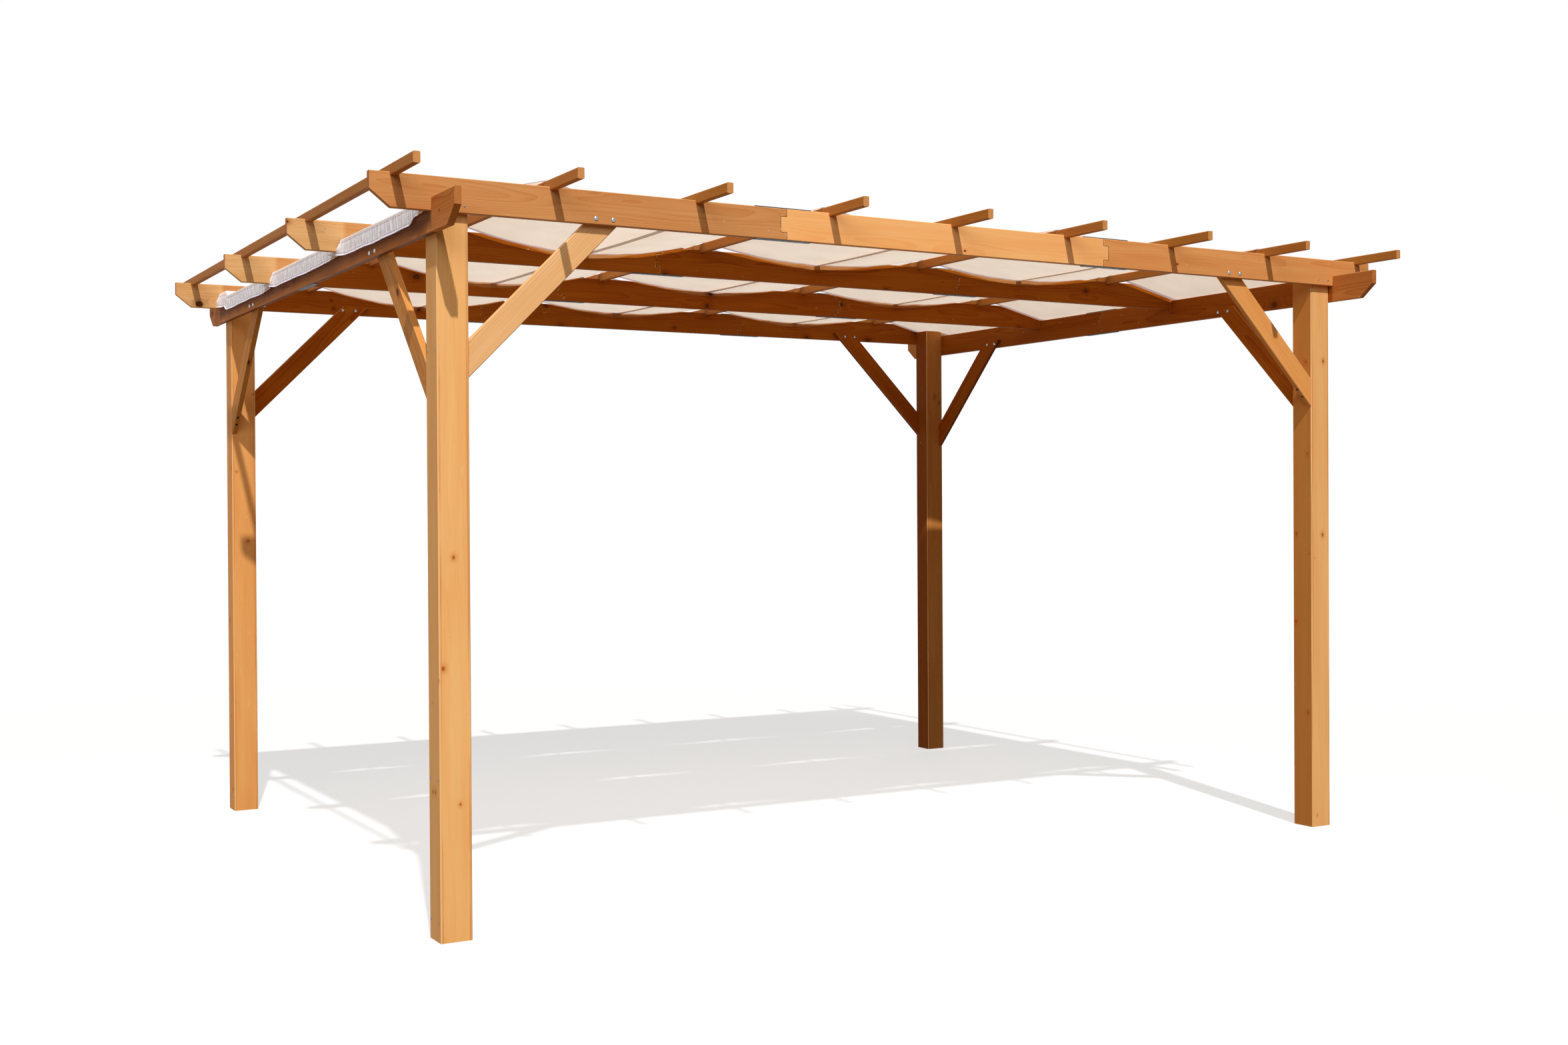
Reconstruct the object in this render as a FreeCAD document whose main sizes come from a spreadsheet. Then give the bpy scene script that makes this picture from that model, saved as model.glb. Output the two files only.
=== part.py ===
import FreeCAD, Part
import os
import re

import Sketcher

# Free-standing timber pergola with three woven canopy strips, in millimetres.
# X runs along the long beams from left to right, Y from front to back and Z up.
# The origin lies on the ground at the centre of the footprint.

SIZES = (
    ("post_size", 96.0, "side of a square post"),
    ("post_edge", 3.0, "chamfer along the four arrises of a post"),
    ("post_span_x", 3600.0, "left to right over the outer faces of the posts"),
    ("post_span_y", 2700.0, "front to back over the outer faces of the posts"),
    ("post_drop", 38.0, "top of a post below the top of the long beams"),
    ("beam_top", 2200.0, "top of the long beams above the ground"),
    ("beam_height", 100.0, "height of every beam"),
    ("beam_thick", 21.0, "thickness of every beam"),
    ("board_edge", 2.0, "chamfer along the arrises of beams, battens and braces"),
    ("end_drop", 60.0, "top of the end beams below the top of the long beams"),
    ("long_overhang", 179.0, "long beam beyond the outer face of an end beam"),
    ("end_overhang", 195.0, "end beam beyond the outer face of the front or back beam"),
    ("tip_height", 50.0, "upright face left at the tip of a beam"),
    ("tip_run", 63.0, "length of the sloping cut under the tip of a beam"),
    ("middle_length", 1302.0, "middle piece of a long beam between its shoulders"),
    ("tongue_length", 22.0, "tongue of a beam splice"),
    ("tongue_height", 50.0, "height of that tongue"),
    ("joint_gap", 0.3, "play in the laps, splices and notches"),
    ("plate_length", 204.0, "steel plate over and under a beam splice"),
    ("plate_thick", 2.5, "thickness of that plate"),
    ("plate_margin", 1.0, "edge of a plate in from the face of its beam"),
    ("batten_thick", 21.0, "width of a roof batten"),
    ("batten_depth", 32.0, "height of a roof batten"),
    ("batten_inset", 70.0, "middle of the first and last batten in from the tips of the long beams"),
    ("batten_overhang", 206.0, "batten beyond the outer face of the front or back beam"),
    ("batten_lap", 80.0, "lap joint in the middle of a batten"),
    ("notch_depth", 10.0, "notch for a batten in the top of a beam"),
    ("brace_width", 77.0, "width of a knee brace board"),
    ("brace_thick", 21.0, "thickness of a knee brace board"),
    ("brace_reach", 470.0, "lower edge of a brace out from its post, at the underside of the beam"),
    ("brace_lap", 36.0, "brace up the inner face of its beam"),
    ("cloth_thick", 3.0, "thickness of a canopy strip"),
    ("cloth_gap", 0.4, "canopy strip off the timber that carries it"),
    ("cloth_side", 15.0, "edge of a canopy strip off the beam beside it"),
    ("flap_drop", 61.0, "canopy flap below the top of the end beam"),
    ("sag_left", 72.0, "sag of the cloth under the third batten"),
    ("sag_middle", 51.0, "sag of the cloth under the fifth batten"),
    ("sag_right", 50.0, "sag of the cloth under the seventh batten"),
)

BAYS = 3
BATTENS = 9
BATTENS_PER_PIECE = 3
MIDDLE_BATTEN = (BATTENS + 1) // 2

# Heights and lengths that follow from the sizes above.
DERIVED = {
    "long_length": "(post_span_x + 2 * beam_thick + 2 * long_overhang)",
    "end_length": "(post_span_y + 2 * beam_thick + 2 * end_overhang)",
    "beam_bottom": "(beam_top - beam_height)",
    "end_top": "(beam_top - end_drop)",
    "end_bottom": "(beam_top - end_drop - beam_height)",
    "post_top": "(beam_top - post_drop)",
    "lap_depth": "((beam_height - end_drop) / 2)",
    "shoulder": "((beam_height - tongue_height) / 2)",
    "bay": "((post_span_y + beam_thick) / %d)" % BAYS,
    "batten_pitch": "((long_length - 2 * batten_inset) / %d)" % (BATTENS - 1),
    "batten_seat": "(beam_top - notch_depth)",
    "batten_top": "(beam_top - notch_depth + batten_depth)",
    "batten_length": "(post_span_y + 2 * beam_thick + 2 * batten_overhang)",
    "brace_cut": "(brace_width * sqrt(2))",
    "plate_width": "(beam_thick - 2 * plate_margin)",
    "splice_x": "((middle_length + tongue_length) / 2)",
    "cloth_reach": "(post_span_x / 2 + beam_thick + cloth_gap + cloth_thick)",
    "cloth_width": "(bay - beam_thick - 2 * cloth_side)",
    "crest": "(batten_top + cloth_gap)",
    "crest_half": "(batten_thick / 2 + cloth_gap)",
    "post_strip": "(post_size - cloth_side + cloth_gap)",
}

# The two sides that each direction has, with their names.
FRONT_AND_BACK = ((-1, "front"), (1, "back"))
LEFT_AND_RIGHT = ((-1, "left"), (1, "right"))

ALONG_X = FreeCAD.Vector(1, 0, 0)
ALONG_Y = FreeCAD.Vector(0, 1, 0)
ALONG_Z = FreeCAD.Vector(0, 0, 1)
UP_A_BRACE = (ALONG_X + ALONG_Z).normalize()
ACROSS_A_BRACE = (ALONG_Z - ALONG_X).normalize()
TOUCHING = 1e-4

doc = FreeCAD.newDocument("pergola")
sheet = doc.addObject("Spreadsheet::Sheet", "Sizes")
for row, (alias, number, meaning) in enumerate(SIZES, start=1):
    sheet.set("A%d" % row, alias)
    sheet.set("B%d" % row, str(number))
    sheet.set("C%d" % row, meaning)
    sheet.setAlias("B%d" % row, alias)
doc.recompute()

ALIASES = {alias for alias, number, meaning in SIZES}
NODES = []


def formula(words):
    """Spell out derived names and point every size at its cell."""

    def spelled(match):
        word = match.group(0)
        if word in DERIVED:
            return formula(DERIVED[word])
        return "Sizes." + word if word in ALIASES else word

    return re.sub(r"[a-z_]+", spelled, str(words))


def value(words):
    """Number that a formula gives now."""
    return float(sheet.evalExpression(formula(words)))


def bind(item, **formulas):
    """Tie properties to the sheet; a double underscore stands for a dot in a path."""
    for path, words in formulas.items():
        item.setExpression(path.replace("__", "."), formula(words))


def place(item, x, y, z, turn=0):
    """Set an item at its place, turned about Z in degrees."""
    base = FreeCAD.Vector(value(x), value(y), value(z))
    item.Placement = FreeCAD.Placement(base, FreeCAD.Rotation(ALONG_Z, turn))
    bind(item, Placement__Base__x=x, Placement__Base__y=y, Placement__Base__z=z)


def node(item, label, x, y, z, turn=0):
    """Name a finished piece and set it at its place."""
    item.Label = label
    place(item, x, y, z, turn)
    NODES.append(item)


def new_body(label):
    return doc.addObject("PartDesign::Body", "Body_" + label)


def dimension(sketch, words, kind, *where):
    """Add a dimension that follows its formula."""
    datum = sketch.addConstraint(Sketcher.Constraint(kind, *where, value(words)))
    sketch.setExpression("Constraints[%d]" % datum, formula(words))


def outline(body, name, corners, plane="XZ_Plane"):
    """Closed sketch through corners: two formulas each and, for an arc that hangs to the next one, its radius."""
    sketch = body.newObject("Sketcher::SketchObject", name)
    base = next(feature for feature in body.Origin.OriginFeatures if feature.Role == plane)
    sketch.AttachmentSupport = [(base, "")]
    sketch.MapMode = "FlatFace"
    points = [FreeCAD.Vector(value(corner[0]), value(corner[1]), 0) for corner in corners]
    ends = []
    for index, corner in enumerate(corners):
        here, there = points[index], points[(index + 1) % len(points)]
        if len(corner) == 2:
            sketch.addGeometry(Part.LineSegment(here, there))
            ends.append((1, 2))
            continue
        left, right = sorted((here, there), key=lambda point: point.x)
        radius = value(corner[2])
        half = (right - left).Length / 2
        sag = radius - (radius ** 2 - half ** 2) ** 0.5
        sketch.addGeometry(Part.Arc(left, (left + right) / 2 - FreeCAD.Vector(0, sag, 0), right))
        ends.append((1, 2) if here.x < there.x else (2, 1))
    for index, corner in enumerate(corners):
        following = (index + 1) % len(corners)
        start, end = ends[index]
        joined = Sketcher.Constraint("Coincident", index, end, following, ends[following][0])
        sketch.addConstraint(joined)
        for kind, axis, words in (("DistanceX", -2, corner[0]), ("DistanceY", -1, corner[1])):
            if words == "0":
                sketch.addConstraint(Sketcher.Constraint("PointOnObject", index, start, axis))
            else:
                dimension(sketch, words, kind, -1, 1, index, start)
        if len(corner) == 3:
            dimension(sketch, corner[2], "Radius", index)
    return sketch


def board(body, name, corners, thickness, plane="XZ_Plane"):
    """Board with that outline, its thickness shared to both sides of the outline's plane."""
    feature = body.newObject("PartDesign::Pad", name)
    feature.Profile = outline(body, name + "_outline", corners, plane)
    feature.SideType = "Symmetric"
    bind(feature, Length=thickness)
    doc.recompute()
    return feature


def ease(body, feature, grain, across, size):
    """Chamfer the arrises that run along the grain at the two outermost places across the piece."""
    reach = [vertex.Point.dot(across) for vertex in feature.Shape.Vertexes]
    arrises = []
    for index, edge in enumerate(feature.Shape.Edges, start=1):
        first, last = edge.Vertexes[0].Point, edge.Vertexes[-1].Point
        along = abs((last - first).normalize().dot(grain)) > 1 - TOUCHING
        outermost = min(abs(first.dot(across) - limit) for limit in (min(reach), max(reach))) < TOUCHING
        if along and outermost:
            arrises.append("Edge%d" % index)
    chamfer = body.newObject("PartDesign::Chamfer", feature.Name + "_arrises")
    chamfer.Base = (feature, arrises)
    bind(chamfer, Size=size)
    doc.recompute()


def notches(body, name, left, width, bottom, count, spacing):
    """Row of equal notches through the board, open at its top edge."""
    before = body.Shape.Volume
    right = "%s + %s" % (left, width)
    above = "beam_height + %s" % width
    sketch = outline(body, name + "_outline", [(left, bottom), (right, bottom), (right, above), (left, above)])
    cut = body.newObject("PartDesign::Pocket", name)
    cut.Profile = sketch
    cut.Type = "ThroughAll"
    cut.SideType = "Symmetric"
    doc.recompute()
    assert cut.Shape.Volume < before, name
    row = body.newObject("PartDesign::LinearPattern", name + "_row")
    row.Originals = [cut]
    row.Direction = (sketch, ["H_Axis"])
    row.Occurrences = count
    bind(row, Length="%d * (%s)" % (count - 1, spacing))
    body.Tip = row
    doc.recompute()
    assert row.Shape.Volume < cut.Shape.Volume, name


def batten_notches(body, label, first_batten):
    """Notches for the battens that a piece carries; first_batten is the middle of the first one."""
    left = "%s - batten_thick / 2 - joint_gap" % first_batten
    notches(body, label + "_notch", left, "(batten_thick + 2 * joint_gap)", "beam_height - notch_depth",
            BATTENS_PER_PIECE, "batten_pitch")


def socket(meeting):
    """Corners up the end of a beam piece, with the slot that takes a tongue; it stops short of the meeting line."""
    end = "%s - joint_gap" % meeting
    floor = "%s - tongue_length" % end
    low = "shoulder - joint_gap"
    high = "beam_height - shoulder + joint_gap"
    return [(end, "0"), (end, low), (floor, low), (floor, high), (end, high), (end, "beam_height")]


def tongue(meeting, tip):
    """Corners up the end of a beam piece, with a tongue that goes on past the meeting line to its tip."""
    high = "beam_height - shoulder"
    return [(meeting, "0"), (meeting, "shoulder"), (tip, "shoulder"), (tip, high), (meeting, high),
            (meeting, "beam_height")]


def beam_piece(label, corners):
    """Beam board with eased arrises, cut to an outline."""
    body = new_body(label)
    feature = board(body, label + "_board", corners, "beam_thick")
    ease(body, feature, ALONG_X, ALONG_Z, "board_edge")
    return body


def long_tip_piece(label, side_x, y):
    """End piece of a long beam: sloped tip, lap over the end beam, batten notches and socket."""
    lap_left = "long_overhang - joint_gap"
    lap_right = "long_overhang + beam_thick + joint_gap"
    corners = [
        ("0", "beam_height - tip_height"),
        ("tip_run", "0"),
        (lap_left, "0"),
        (lap_left, "lap_depth"),
        (lap_right, "lap_depth"),
        (lap_right, "0"),
    ]
    corners += socket("(long_length - middle_length) / 2")
    corners += [("0", "beam_height")]
    body = beam_piece(label, corners)
    batten_notches(body, label, "batten_inset")
    node(body, label, "%d * long_length / 2" % side_x, y, "beam_bottom", 90 * (1 + side_x))


def long_middle_piece(label, y):
    """Middle piece of a long beam, with a tongue at each end and batten notches."""
    right_end = tongue("tongue_length + middle_length", "2 * tongue_length + middle_length - joint_gap")
    left_end = tongue("tongue_length", "joint_gap")
    body = beam_piece(label, right_end + left_end[::-1])
    batten_notches(body, label, "tongue_length + middle_length / 2 - batten_pitch")
    node(body, label, "-(middle_length / 2 + tongue_length)", y, "beam_bottom")


def end_beam_half(label, side_y, x):
    """Half an end beam: sloped tip, laps under an outer and an inner long beam, and half of the splice.

    The front half has the tongue and the back half the socket, and the splice is at the middle of the roof.
    """
    if side_y < 0:
        meeting = "(end_length - tongue_length) / 2"
        joint = tongue(meeting, "(end_length + tongue_length) / 2 - joint_gap")
    else:
        joint = socket("(end_length + tongue_length) / 2")
    body = beam_piece(label, [("0", "beam_height - tip_height"), ("tip_run", "0")] + joint + [("0", "beam_height")])
    notches(body, label + "_lap", "end_overhang - joint_gap", "(beam_thick + 2 * joint_gap)",
            "beam_height - lap_depth", 2, "bay")
    node(body, label, x, "%d * end_length / 2" % side_y, "end_bottom", -90 * side_y)


def splice_plates(label, places):
    """Plates over and under the splices of one kind of beam; places are (x, y, beam bottom, turn)."""
    flat = [("0", "0"), ("plate_length", "0"), ("plate_length", "plate_width"), ("0", "plate_width")]
    half = ("plate_length / 2", "plate_width / 2")
    plates = []
    for number, (x, y, bottom, turn) in enumerate(places, start=1):
        for level, z in (("lower", "%s - plate_thick / 2"), ("upper", "%s + beam_height + plate_thick / 2")):
            plate = new_body("%s_%d_%s" % (label, number, level))
            board(plate, "%s_%d_%s_flat" % (label, number, level), flat, "plate_thick", "XY_Plane")
            offset_x, offset_y = half if turn == 0 else ("-" + half[1], half[0])
            place(plate, "%s - %s" % (x, offset_x), "%s - %s" % (y, offset_y), z % bottom, turn)
            plates.append(plate)
    group = doc.addObject("Part::Compound", label + "_group")
    group.Links = plates
    node(group, label, "0 * plate_length", "0 * plate_length", "0 * plate_length")


def post(label, side_x, side_y):
    """Square post on its sawn foot."""
    body = new_body(label)
    section = [("0", "0"), ("post_size", "0"), ("post_size", "post_size"), ("0", "post_size")]
    shaft = body.newObject("PartDesign::Pad", label + "_shaft")
    shaft.Profile = outline(body, label + "_section", section, "XY_Plane")
    bind(shaft, Length="post_top")
    doc.recompute()
    ease(body, shaft, ALONG_Z, ALONG_X, "post_edge")
    node(body, label, "%d * (post_span_x - post_size) / 2 - post_size / 2" % side_x,
         "%d * (post_span_y - post_size) / 2 - post_size / 2" % side_y, "0")


def brace(label, x, y, bottom, turn):
    """Knee brace at 45 degrees: plumb cut on the post, level cut on the inner face of the beam."""
    body = new_body(label)
    top = "(brace_reach + brace_lap)"
    corners = [("0", "0"), (top, top), ("%s - brace_cut" % top, top), ("0", "brace_cut")]
    feature = board(body, label + "_board", corners, "brace_thick")
    ease(body, feature, UP_A_BRACE, ACROSS_A_BRACE, "board_edge")
    node(body, label, x, y, "%s - brace_reach" % bottom, turn)


def batten_half(label, side_y):
    """Half a batten with a long half-lap at the middle of the roof; the other half is the same, turned round."""
    body = new_body(label)
    step = "(batten_thick - joint_gap) / 2"
    tongue = "batten_length / 2 + batten_lap / 2"
    shoulder_y = "batten_length / 2 - batten_lap / 2 - joint_gap"
    corners = [
        ("0", "0"), ("batten_thick", "0"), ("batten_thick", shoulder_y), (step, shoulder_y), (step, tongue),
        ("0", tongue),
    ]
    feature = board(body, label + "_bar", corners, "batten_depth", "XY_Plane")
    ease(body, feature, ALONG_Y, ALONG_X, "board_edge")
    place(body, "%d * batten_thick / 2" % side_y, "%d * batten_length / 2" % side_y, "0", 90 * (1 + side_y))
    return body


def batten(number):
    """Roof batten of two halves, lying in the notches of the four long beams."""
    label = "batten_%d" % number
    pair = doc.addObject("Part::Compound", label + "_pair")
    pair.Links = [batten_half("%s_%s" % (label, side), side_y) for side_y, side in FRONT_AND_BACK]
    node(pair, label, "%d * batten_pitch" % (number - MIDDLE_BATTEN), "0", "batten_seat + batten_depth / 2")


def canopy_outline(ledge_top, ledge_inner):
    """Outline of a strip seen from the front: a flap over each end, and up over every second batten.

    The underside is written from left to right, and the upper side is the same line one thickness up.
    Between crests the cloth hangs in arcs; radius = (half chord squared + sag squared) / (2 * sag).
    """
    half_chord = "(batten_pitch - crest_half)"
    radii = ["(%s ^ 2 + %s ^ 2) / (2 * %s)" % (half_chord, sag, sag) for sag in ("sag_left", "sag_middle", "sag_right")]
    crests = ["(cloth_reach + %d * batten_pitch)" % step for step in (-3, -1, 1, 3)]
    ledge = "(%s + cloth_gap)" % ledge_top
    inner_left = "cloth_reach - (%s)" % ledge_inner
    inner_right = "cloth_reach + (%s)" % ledge_inner
    flap = "end_top - flap_drop"

    under = [("cloth_thick", flap), ("cloth_thick", ledge), (inner_left, ledge)]
    for index, middle in enumerate(crests):
        under.append(("%s - crest_half" % middle, "crest"))
        under.append(("%s + crest_half" % middle, "crest", *radii[index:index + 1]))
    under += [(inner_right, ledge), ("2 * cloth_reach - cloth_thick", ledge), ("2 * cloth_reach - cloth_thick", flap)]

    over = [("2 * cloth_reach", flap), ("2 * cloth_reach", ledge + " + cloth_thick"),
            (inner_right, ledge + " + cloth_thick")]
    for index, middle in reversed(list(enumerate(crests))):
        over.append(("%s + crest_half" % middle, "crest + cloth_thick"))
        over.append(("%s - crest_half" % middle, "crest + cloth_thick", *radii[max(index - 1, 0):index]))
    over += [(inner_left, ledge + " + cloth_thick"), ("0", ledge + " + cloth_thick"), ("0", flap)]
    return under + over


def cloth(body, name, corners, start, width):
    """Stretch of a canopy strip with that outline, from start towards the back."""
    feature = body.newObject("PartDesign::Pad", name)
    sketch = outline(body, name + "_outline", corners)
    bind(sketch, AttachmentOffset__Base__z="-(%s)" % start)
    feature.Profile = sketch
    feature.Reversed = True
    bind(feature, Length=width)
    doc.recompute()


def canopy(label, bay_number):
    """Strip between two long beams; the outer ones are lifted over the posts, the others over the splice plates."""
    body = new_body(label)
    over_plates = bay_number not in (0, BAYS - 1)
    main = canopy_outline("end_top + plate_thick" if over_plates else "end_top", "post_span_x / 2 - cloth_gap")
    lifted = canopy_outline("post_top", "post_span_x / 2 - post_size")
    if bay_number == 0:
        cloth(body, label + "_over_posts", lifted, "0 * cloth_side", "post_strip")
        cloth(body, label + "_main", main, "post_strip", "cloth_width - post_strip")
    elif bay_number == BAYS - 1:
        cloth(body, label + "_main", main, "0 * cloth_side", "cloth_width - post_strip")
        cloth(body, label + "_over_posts", lifted, "cloth_width - post_strip", "post_strip")
    else:
        cloth(body, label + "_main", main, "0 * cloth_side", "cloth_width")
    node(body, label, "-cloth_reach", "(%d - %d / 2) * bay + beam_thick / 2 + cloth_side" % (bay_number, BAYS), "0")


for side_y, front_or_back in FRONT_AND_BACK:
    for side_x, left_or_right in LEFT_AND_RIGHT:
        corner_name = "%s_%s" % (front_or_back, left_or_right)
        post("post_" + corner_name, side_x, side_y)
        brace("brace_%s_long" % corner_name, "%d * (post_span_x / 2 - post_size)" % side_x,
              "%d * (post_span_y - brace_thick) / 2" % side_y, "beam_bottom", 90 * (1 + side_x))
        brace("brace_%s_end" % corner_name, "%d * (post_span_x - brace_thick) / 2" % side_x,
              "%d * (post_span_y / 2 - post_size)" % side_y, "end_bottom", -90 * side_y)

LONG_BEAMS = ("front_beam", "inner_front_beam", "inner_back_beam", "back_beam")
LONG_BEAM_Y = ["(%d - %d / 2) * bay" % (line, BAYS) for line in range(BAYS + 1)]
for beam_name, beam_y in zip(LONG_BEAMS, LONG_BEAM_Y):
    for side_x, left_or_right in LEFT_AND_RIGHT:
        long_tip_piece("%s_%s" % (beam_name, left_or_right), side_x, beam_y)
    long_middle_piece(beam_name + "_middle", beam_y)

for side_x, left_or_right in LEFT_AND_RIGHT:
    beam_x = "%d * (post_span_x + beam_thick) / 2" % side_x
    for side_y, front_or_back in FRONT_AND_BACK:
        end_beam_half("%s_end_beam_%s" % (left_or_right, front_or_back), side_y, beam_x)

long_splices = [("%d * splice_x" % side_x, beam_y, "beam_bottom", 0)
                for beam_y in LONG_BEAM_Y for side_x, left_or_right in LEFT_AND_RIGHT]
splice_plates("long_beam_splice_plates", long_splices)
end_splices = [("%d * (post_span_x + beam_thick) / 2" % side_x, "0 * bay", "end_bottom", 90)
               for side_x, left_or_right in LEFT_AND_RIGHT]
splice_plates("end_beam_splice_plates", end_splices)

for batten_number in range(1, BATTENS + 1):
    batten(batten_number)

for bay_number, bay_name in enumerate(("front", "middle", "back")):
    canopy("canopy_" + bay_name, bay_number)

doc.recompute()
for item in doc.Objects:
    faults = [state for state in item.State if state in ("Invalid", "Error")]
    assert not faults, "%s: %s" % (item.Label, faults)
for item in NODES:
    assert not item.Shape.isNull() and item.Shape.isValid(), item.Label

os.makedirs("parts", exist_ok=True)
for item in NODES:
    item.Shape.exportStep("parts/%s.step" % item.Label)
    box = item.Shape.BoundBox
    print("%-26s %d solid  x %8.1f %8.1f  y %8.1f %8.1f  z %7.1f %7.1f" % (
        item.Label, len(item.Shape.Solids), box.XMin, box.XMax, box.YMin, box.YMax, box.ZMin, box.ZMax))
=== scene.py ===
import math
from functools import partial

import bpy
import numpy as np
from mathutils import Matrix, Vector


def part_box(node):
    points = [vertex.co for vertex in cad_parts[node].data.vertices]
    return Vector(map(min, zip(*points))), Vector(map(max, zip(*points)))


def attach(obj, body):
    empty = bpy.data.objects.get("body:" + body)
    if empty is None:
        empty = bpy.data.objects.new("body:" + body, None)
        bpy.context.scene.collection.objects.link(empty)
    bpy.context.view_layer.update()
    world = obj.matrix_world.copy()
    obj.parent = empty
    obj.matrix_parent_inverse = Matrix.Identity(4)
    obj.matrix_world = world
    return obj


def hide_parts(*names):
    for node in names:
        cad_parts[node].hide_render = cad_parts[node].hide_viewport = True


bl_info = {
    "name": "Pergola finishes",
    "version": (1, 0, 0),
    "blender": (4, 5, 0),
    "location": "View3D > Sidebar > Pergola",
    "description": "Stained timber, woven canopy strips and steel fittings of a garden pergola",
    "category": "Object",
}

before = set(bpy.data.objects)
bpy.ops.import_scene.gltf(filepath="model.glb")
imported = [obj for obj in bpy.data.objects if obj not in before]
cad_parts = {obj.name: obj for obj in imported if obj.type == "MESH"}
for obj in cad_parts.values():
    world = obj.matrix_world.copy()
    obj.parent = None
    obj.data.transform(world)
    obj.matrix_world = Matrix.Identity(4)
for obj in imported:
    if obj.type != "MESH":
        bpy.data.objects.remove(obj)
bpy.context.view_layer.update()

BODY = "root"
MM = 0.001
QUARTER = math.pi / 2
X, Y, Z = 0, 1, 2
SIDES_X = (("left", -1), ("right", 1))
SIDES_Y = (("front", -1), ("back", 1))
WHITE = (1.0, 1.0, 1.0, 1.0)

# Grain directions: each turns the pattern's own X axis on to the length of the piece.
ALONG_X = (0.0, 0.0, 0.0)
ALONG_Y = (0.0, 0.0, QUARTER)
ALONG_Z = (0.0, -QUARTER, 0.0)

# Splices, in metres, as joint_line takes them.
LONG_JOINT = (X, True, 0.651, 0.673, 2.150)
END_JOINT = (Y, False, -0.0107, 0.0107, 2.090)
TONGUE_HALF = 0.025

# Knots of the narrow faces are taken this many millimetres away from those of the broad faces.
OTHER_FACE = 500.0

# Canopy strips, in metres: measures that the frame's own solids have.
BATTEN_PITCH = 0.4825
CREST_HALF = 0.0109
CLOTH_LIFT = 0.0019
CREST_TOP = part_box("batten_2")[1].z + CLOTH_LIFT
END_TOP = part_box("left_end_beam_front")[1].z
END_INNER = -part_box("post_front_left")[0].x - 0.0004
POST_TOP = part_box("post_front_left")[1].z
POST_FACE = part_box("post_front_left")[1].x
POST_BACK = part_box("post_front_left")[1].y
FLAP_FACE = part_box("left_end_beam_front")[0].x - CLOTH_LIFT
STRIP_WIDTH = 0.865
FLAP_DROP = 0.0625
FLAP_ROOM = 0.085
HEM_HEIGHT = 2.206
THREAD = 0.003
ROLL = 0.0014
ROLL_TURN = 1.4 * math.pi
ROLL_RUN = ROLL * ROLL_TURN

# Fittings, in metres: where bolts and screws go through the boards, and how deep each one starts in the surface.
LONG_BOLTS = (-1.311, -1.255, 1.255, 1.311)
LONG_BOLT_HEIGHT = 2.118
END_BOLTS = (-0.830, -0.773, 0.773, 0.830)
END_BOLT_HEIGHT = 2.057
BEAM_SCREWS = (-1.774, -1.722, 1.722, 1.774)
BEAM_SCREW_HEIGHT = 2.119
POST_SCREW_HEIGHTS = (0.059, 0.470, 1.708)
POST_SCREW_STEP = 0.034
BRACE_SCREW_RISES = (0.038, 0.065)
SPLICES = (-0.662, 0.662)
PLATE_SCREW_STEPS = (-0.084, -0.034, 0.034, 0.084)
PLATE_THICKNESS = 0.0025
SUNK = 0.0004

# The camera of the photograph: place in metres, and yaw to the right of +Y, pitch and roll in degrees.
CAMERA_PLACE = (-3.438, -6.168, 1.243)
CAMERA_TURN = (30.01, -0.424, -0.319)


def linear(code):
    """sRGB hex colour as linear RGBA."""
    shares = [int(code[place:place + 2], 16) / 255 for place in (0, 2, 4)]
    return tuple(s / 12.92 if s <= 0.04045 else ((s + 0.055) / 1.055) ** 2.4 for s in shares) + (1.0,)


def shaded(colour, strength, level=1.0):
    """A colour as a denser coat of the same stain gives it: each channel to a power, so hues deepen, times a level."""
    return tuple(level * channel ** strength for channel in colour[:3]) + (1.0,)


def size_property(name, description, default):
    return bpy.props.FloatProperty(name=name, description=description, default=default, min=0.0, unit="LENGTH",
                                   subtype="DISTANCE", precision=4)


def share_property(name, description, default):
    return bpy.props.FloatProperty(name=name, description=description, default=default, min=0.0, max=1.0,
                                   subtype="FACTOR")


def strength_property(name, description, default, unit="NONE"):
    return bpy.props.FloatProperty(name=name, description=description, default=default, min=0.0, unit=unit)


def colour_property(name, description, code):
    return bpy.props.FloatVectorProperty(name=name, description=description, default=linear(code), size=4,
                                         min=0.0, max=1.0, subtype="COLOR")


class TimberLook(bpy.types.PropertyGroup):
    """Stained softwood."""

    ring_width: size_property("Ring width", "Distance between two growth rings", 0.0045)
    knot_radius: size_property("Knot radius", "Radius of the largest knots", 0.013)
    knot_spacing: size_property("Knot spacing", "Usual distance between knots along a board", 0.34)
    wear: share_property("Arris wear", "How far the stain is rubbed off the arrises", 0.35)
    knot_colour: colour_property("Knot", "Stained knot wood", "5E300E")
    post_knot_colour: colour_property("Post knot", "Small knot in a post", "A85C28")
    run_colour: colour_property("Run", "Stain that ran together beside a post's arrises", "B8682E")
    # The two paler colours are laid where the sun reaches the beams: painted sunlight, as well as bleaching of the
    # stain.
    sunlit_bleached_colour: colour_property("Bleached", "Stain where the sun has reached it", "D3A168")
    sunlit_bleached_end_beam: colour_property("Bleached end beam", "The same on the end beams", "C27A3C")
    worn_colour: colour_property("Worn arris", "Softwood where the stain has gone", "E9BC85")
    beam_end: colour_property("Beam end", "Sawn and stained end of a beam or post", "B87843")
    batten_end: colour_property("Batten end", "Sawn end with little stain", "CA925A")


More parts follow.
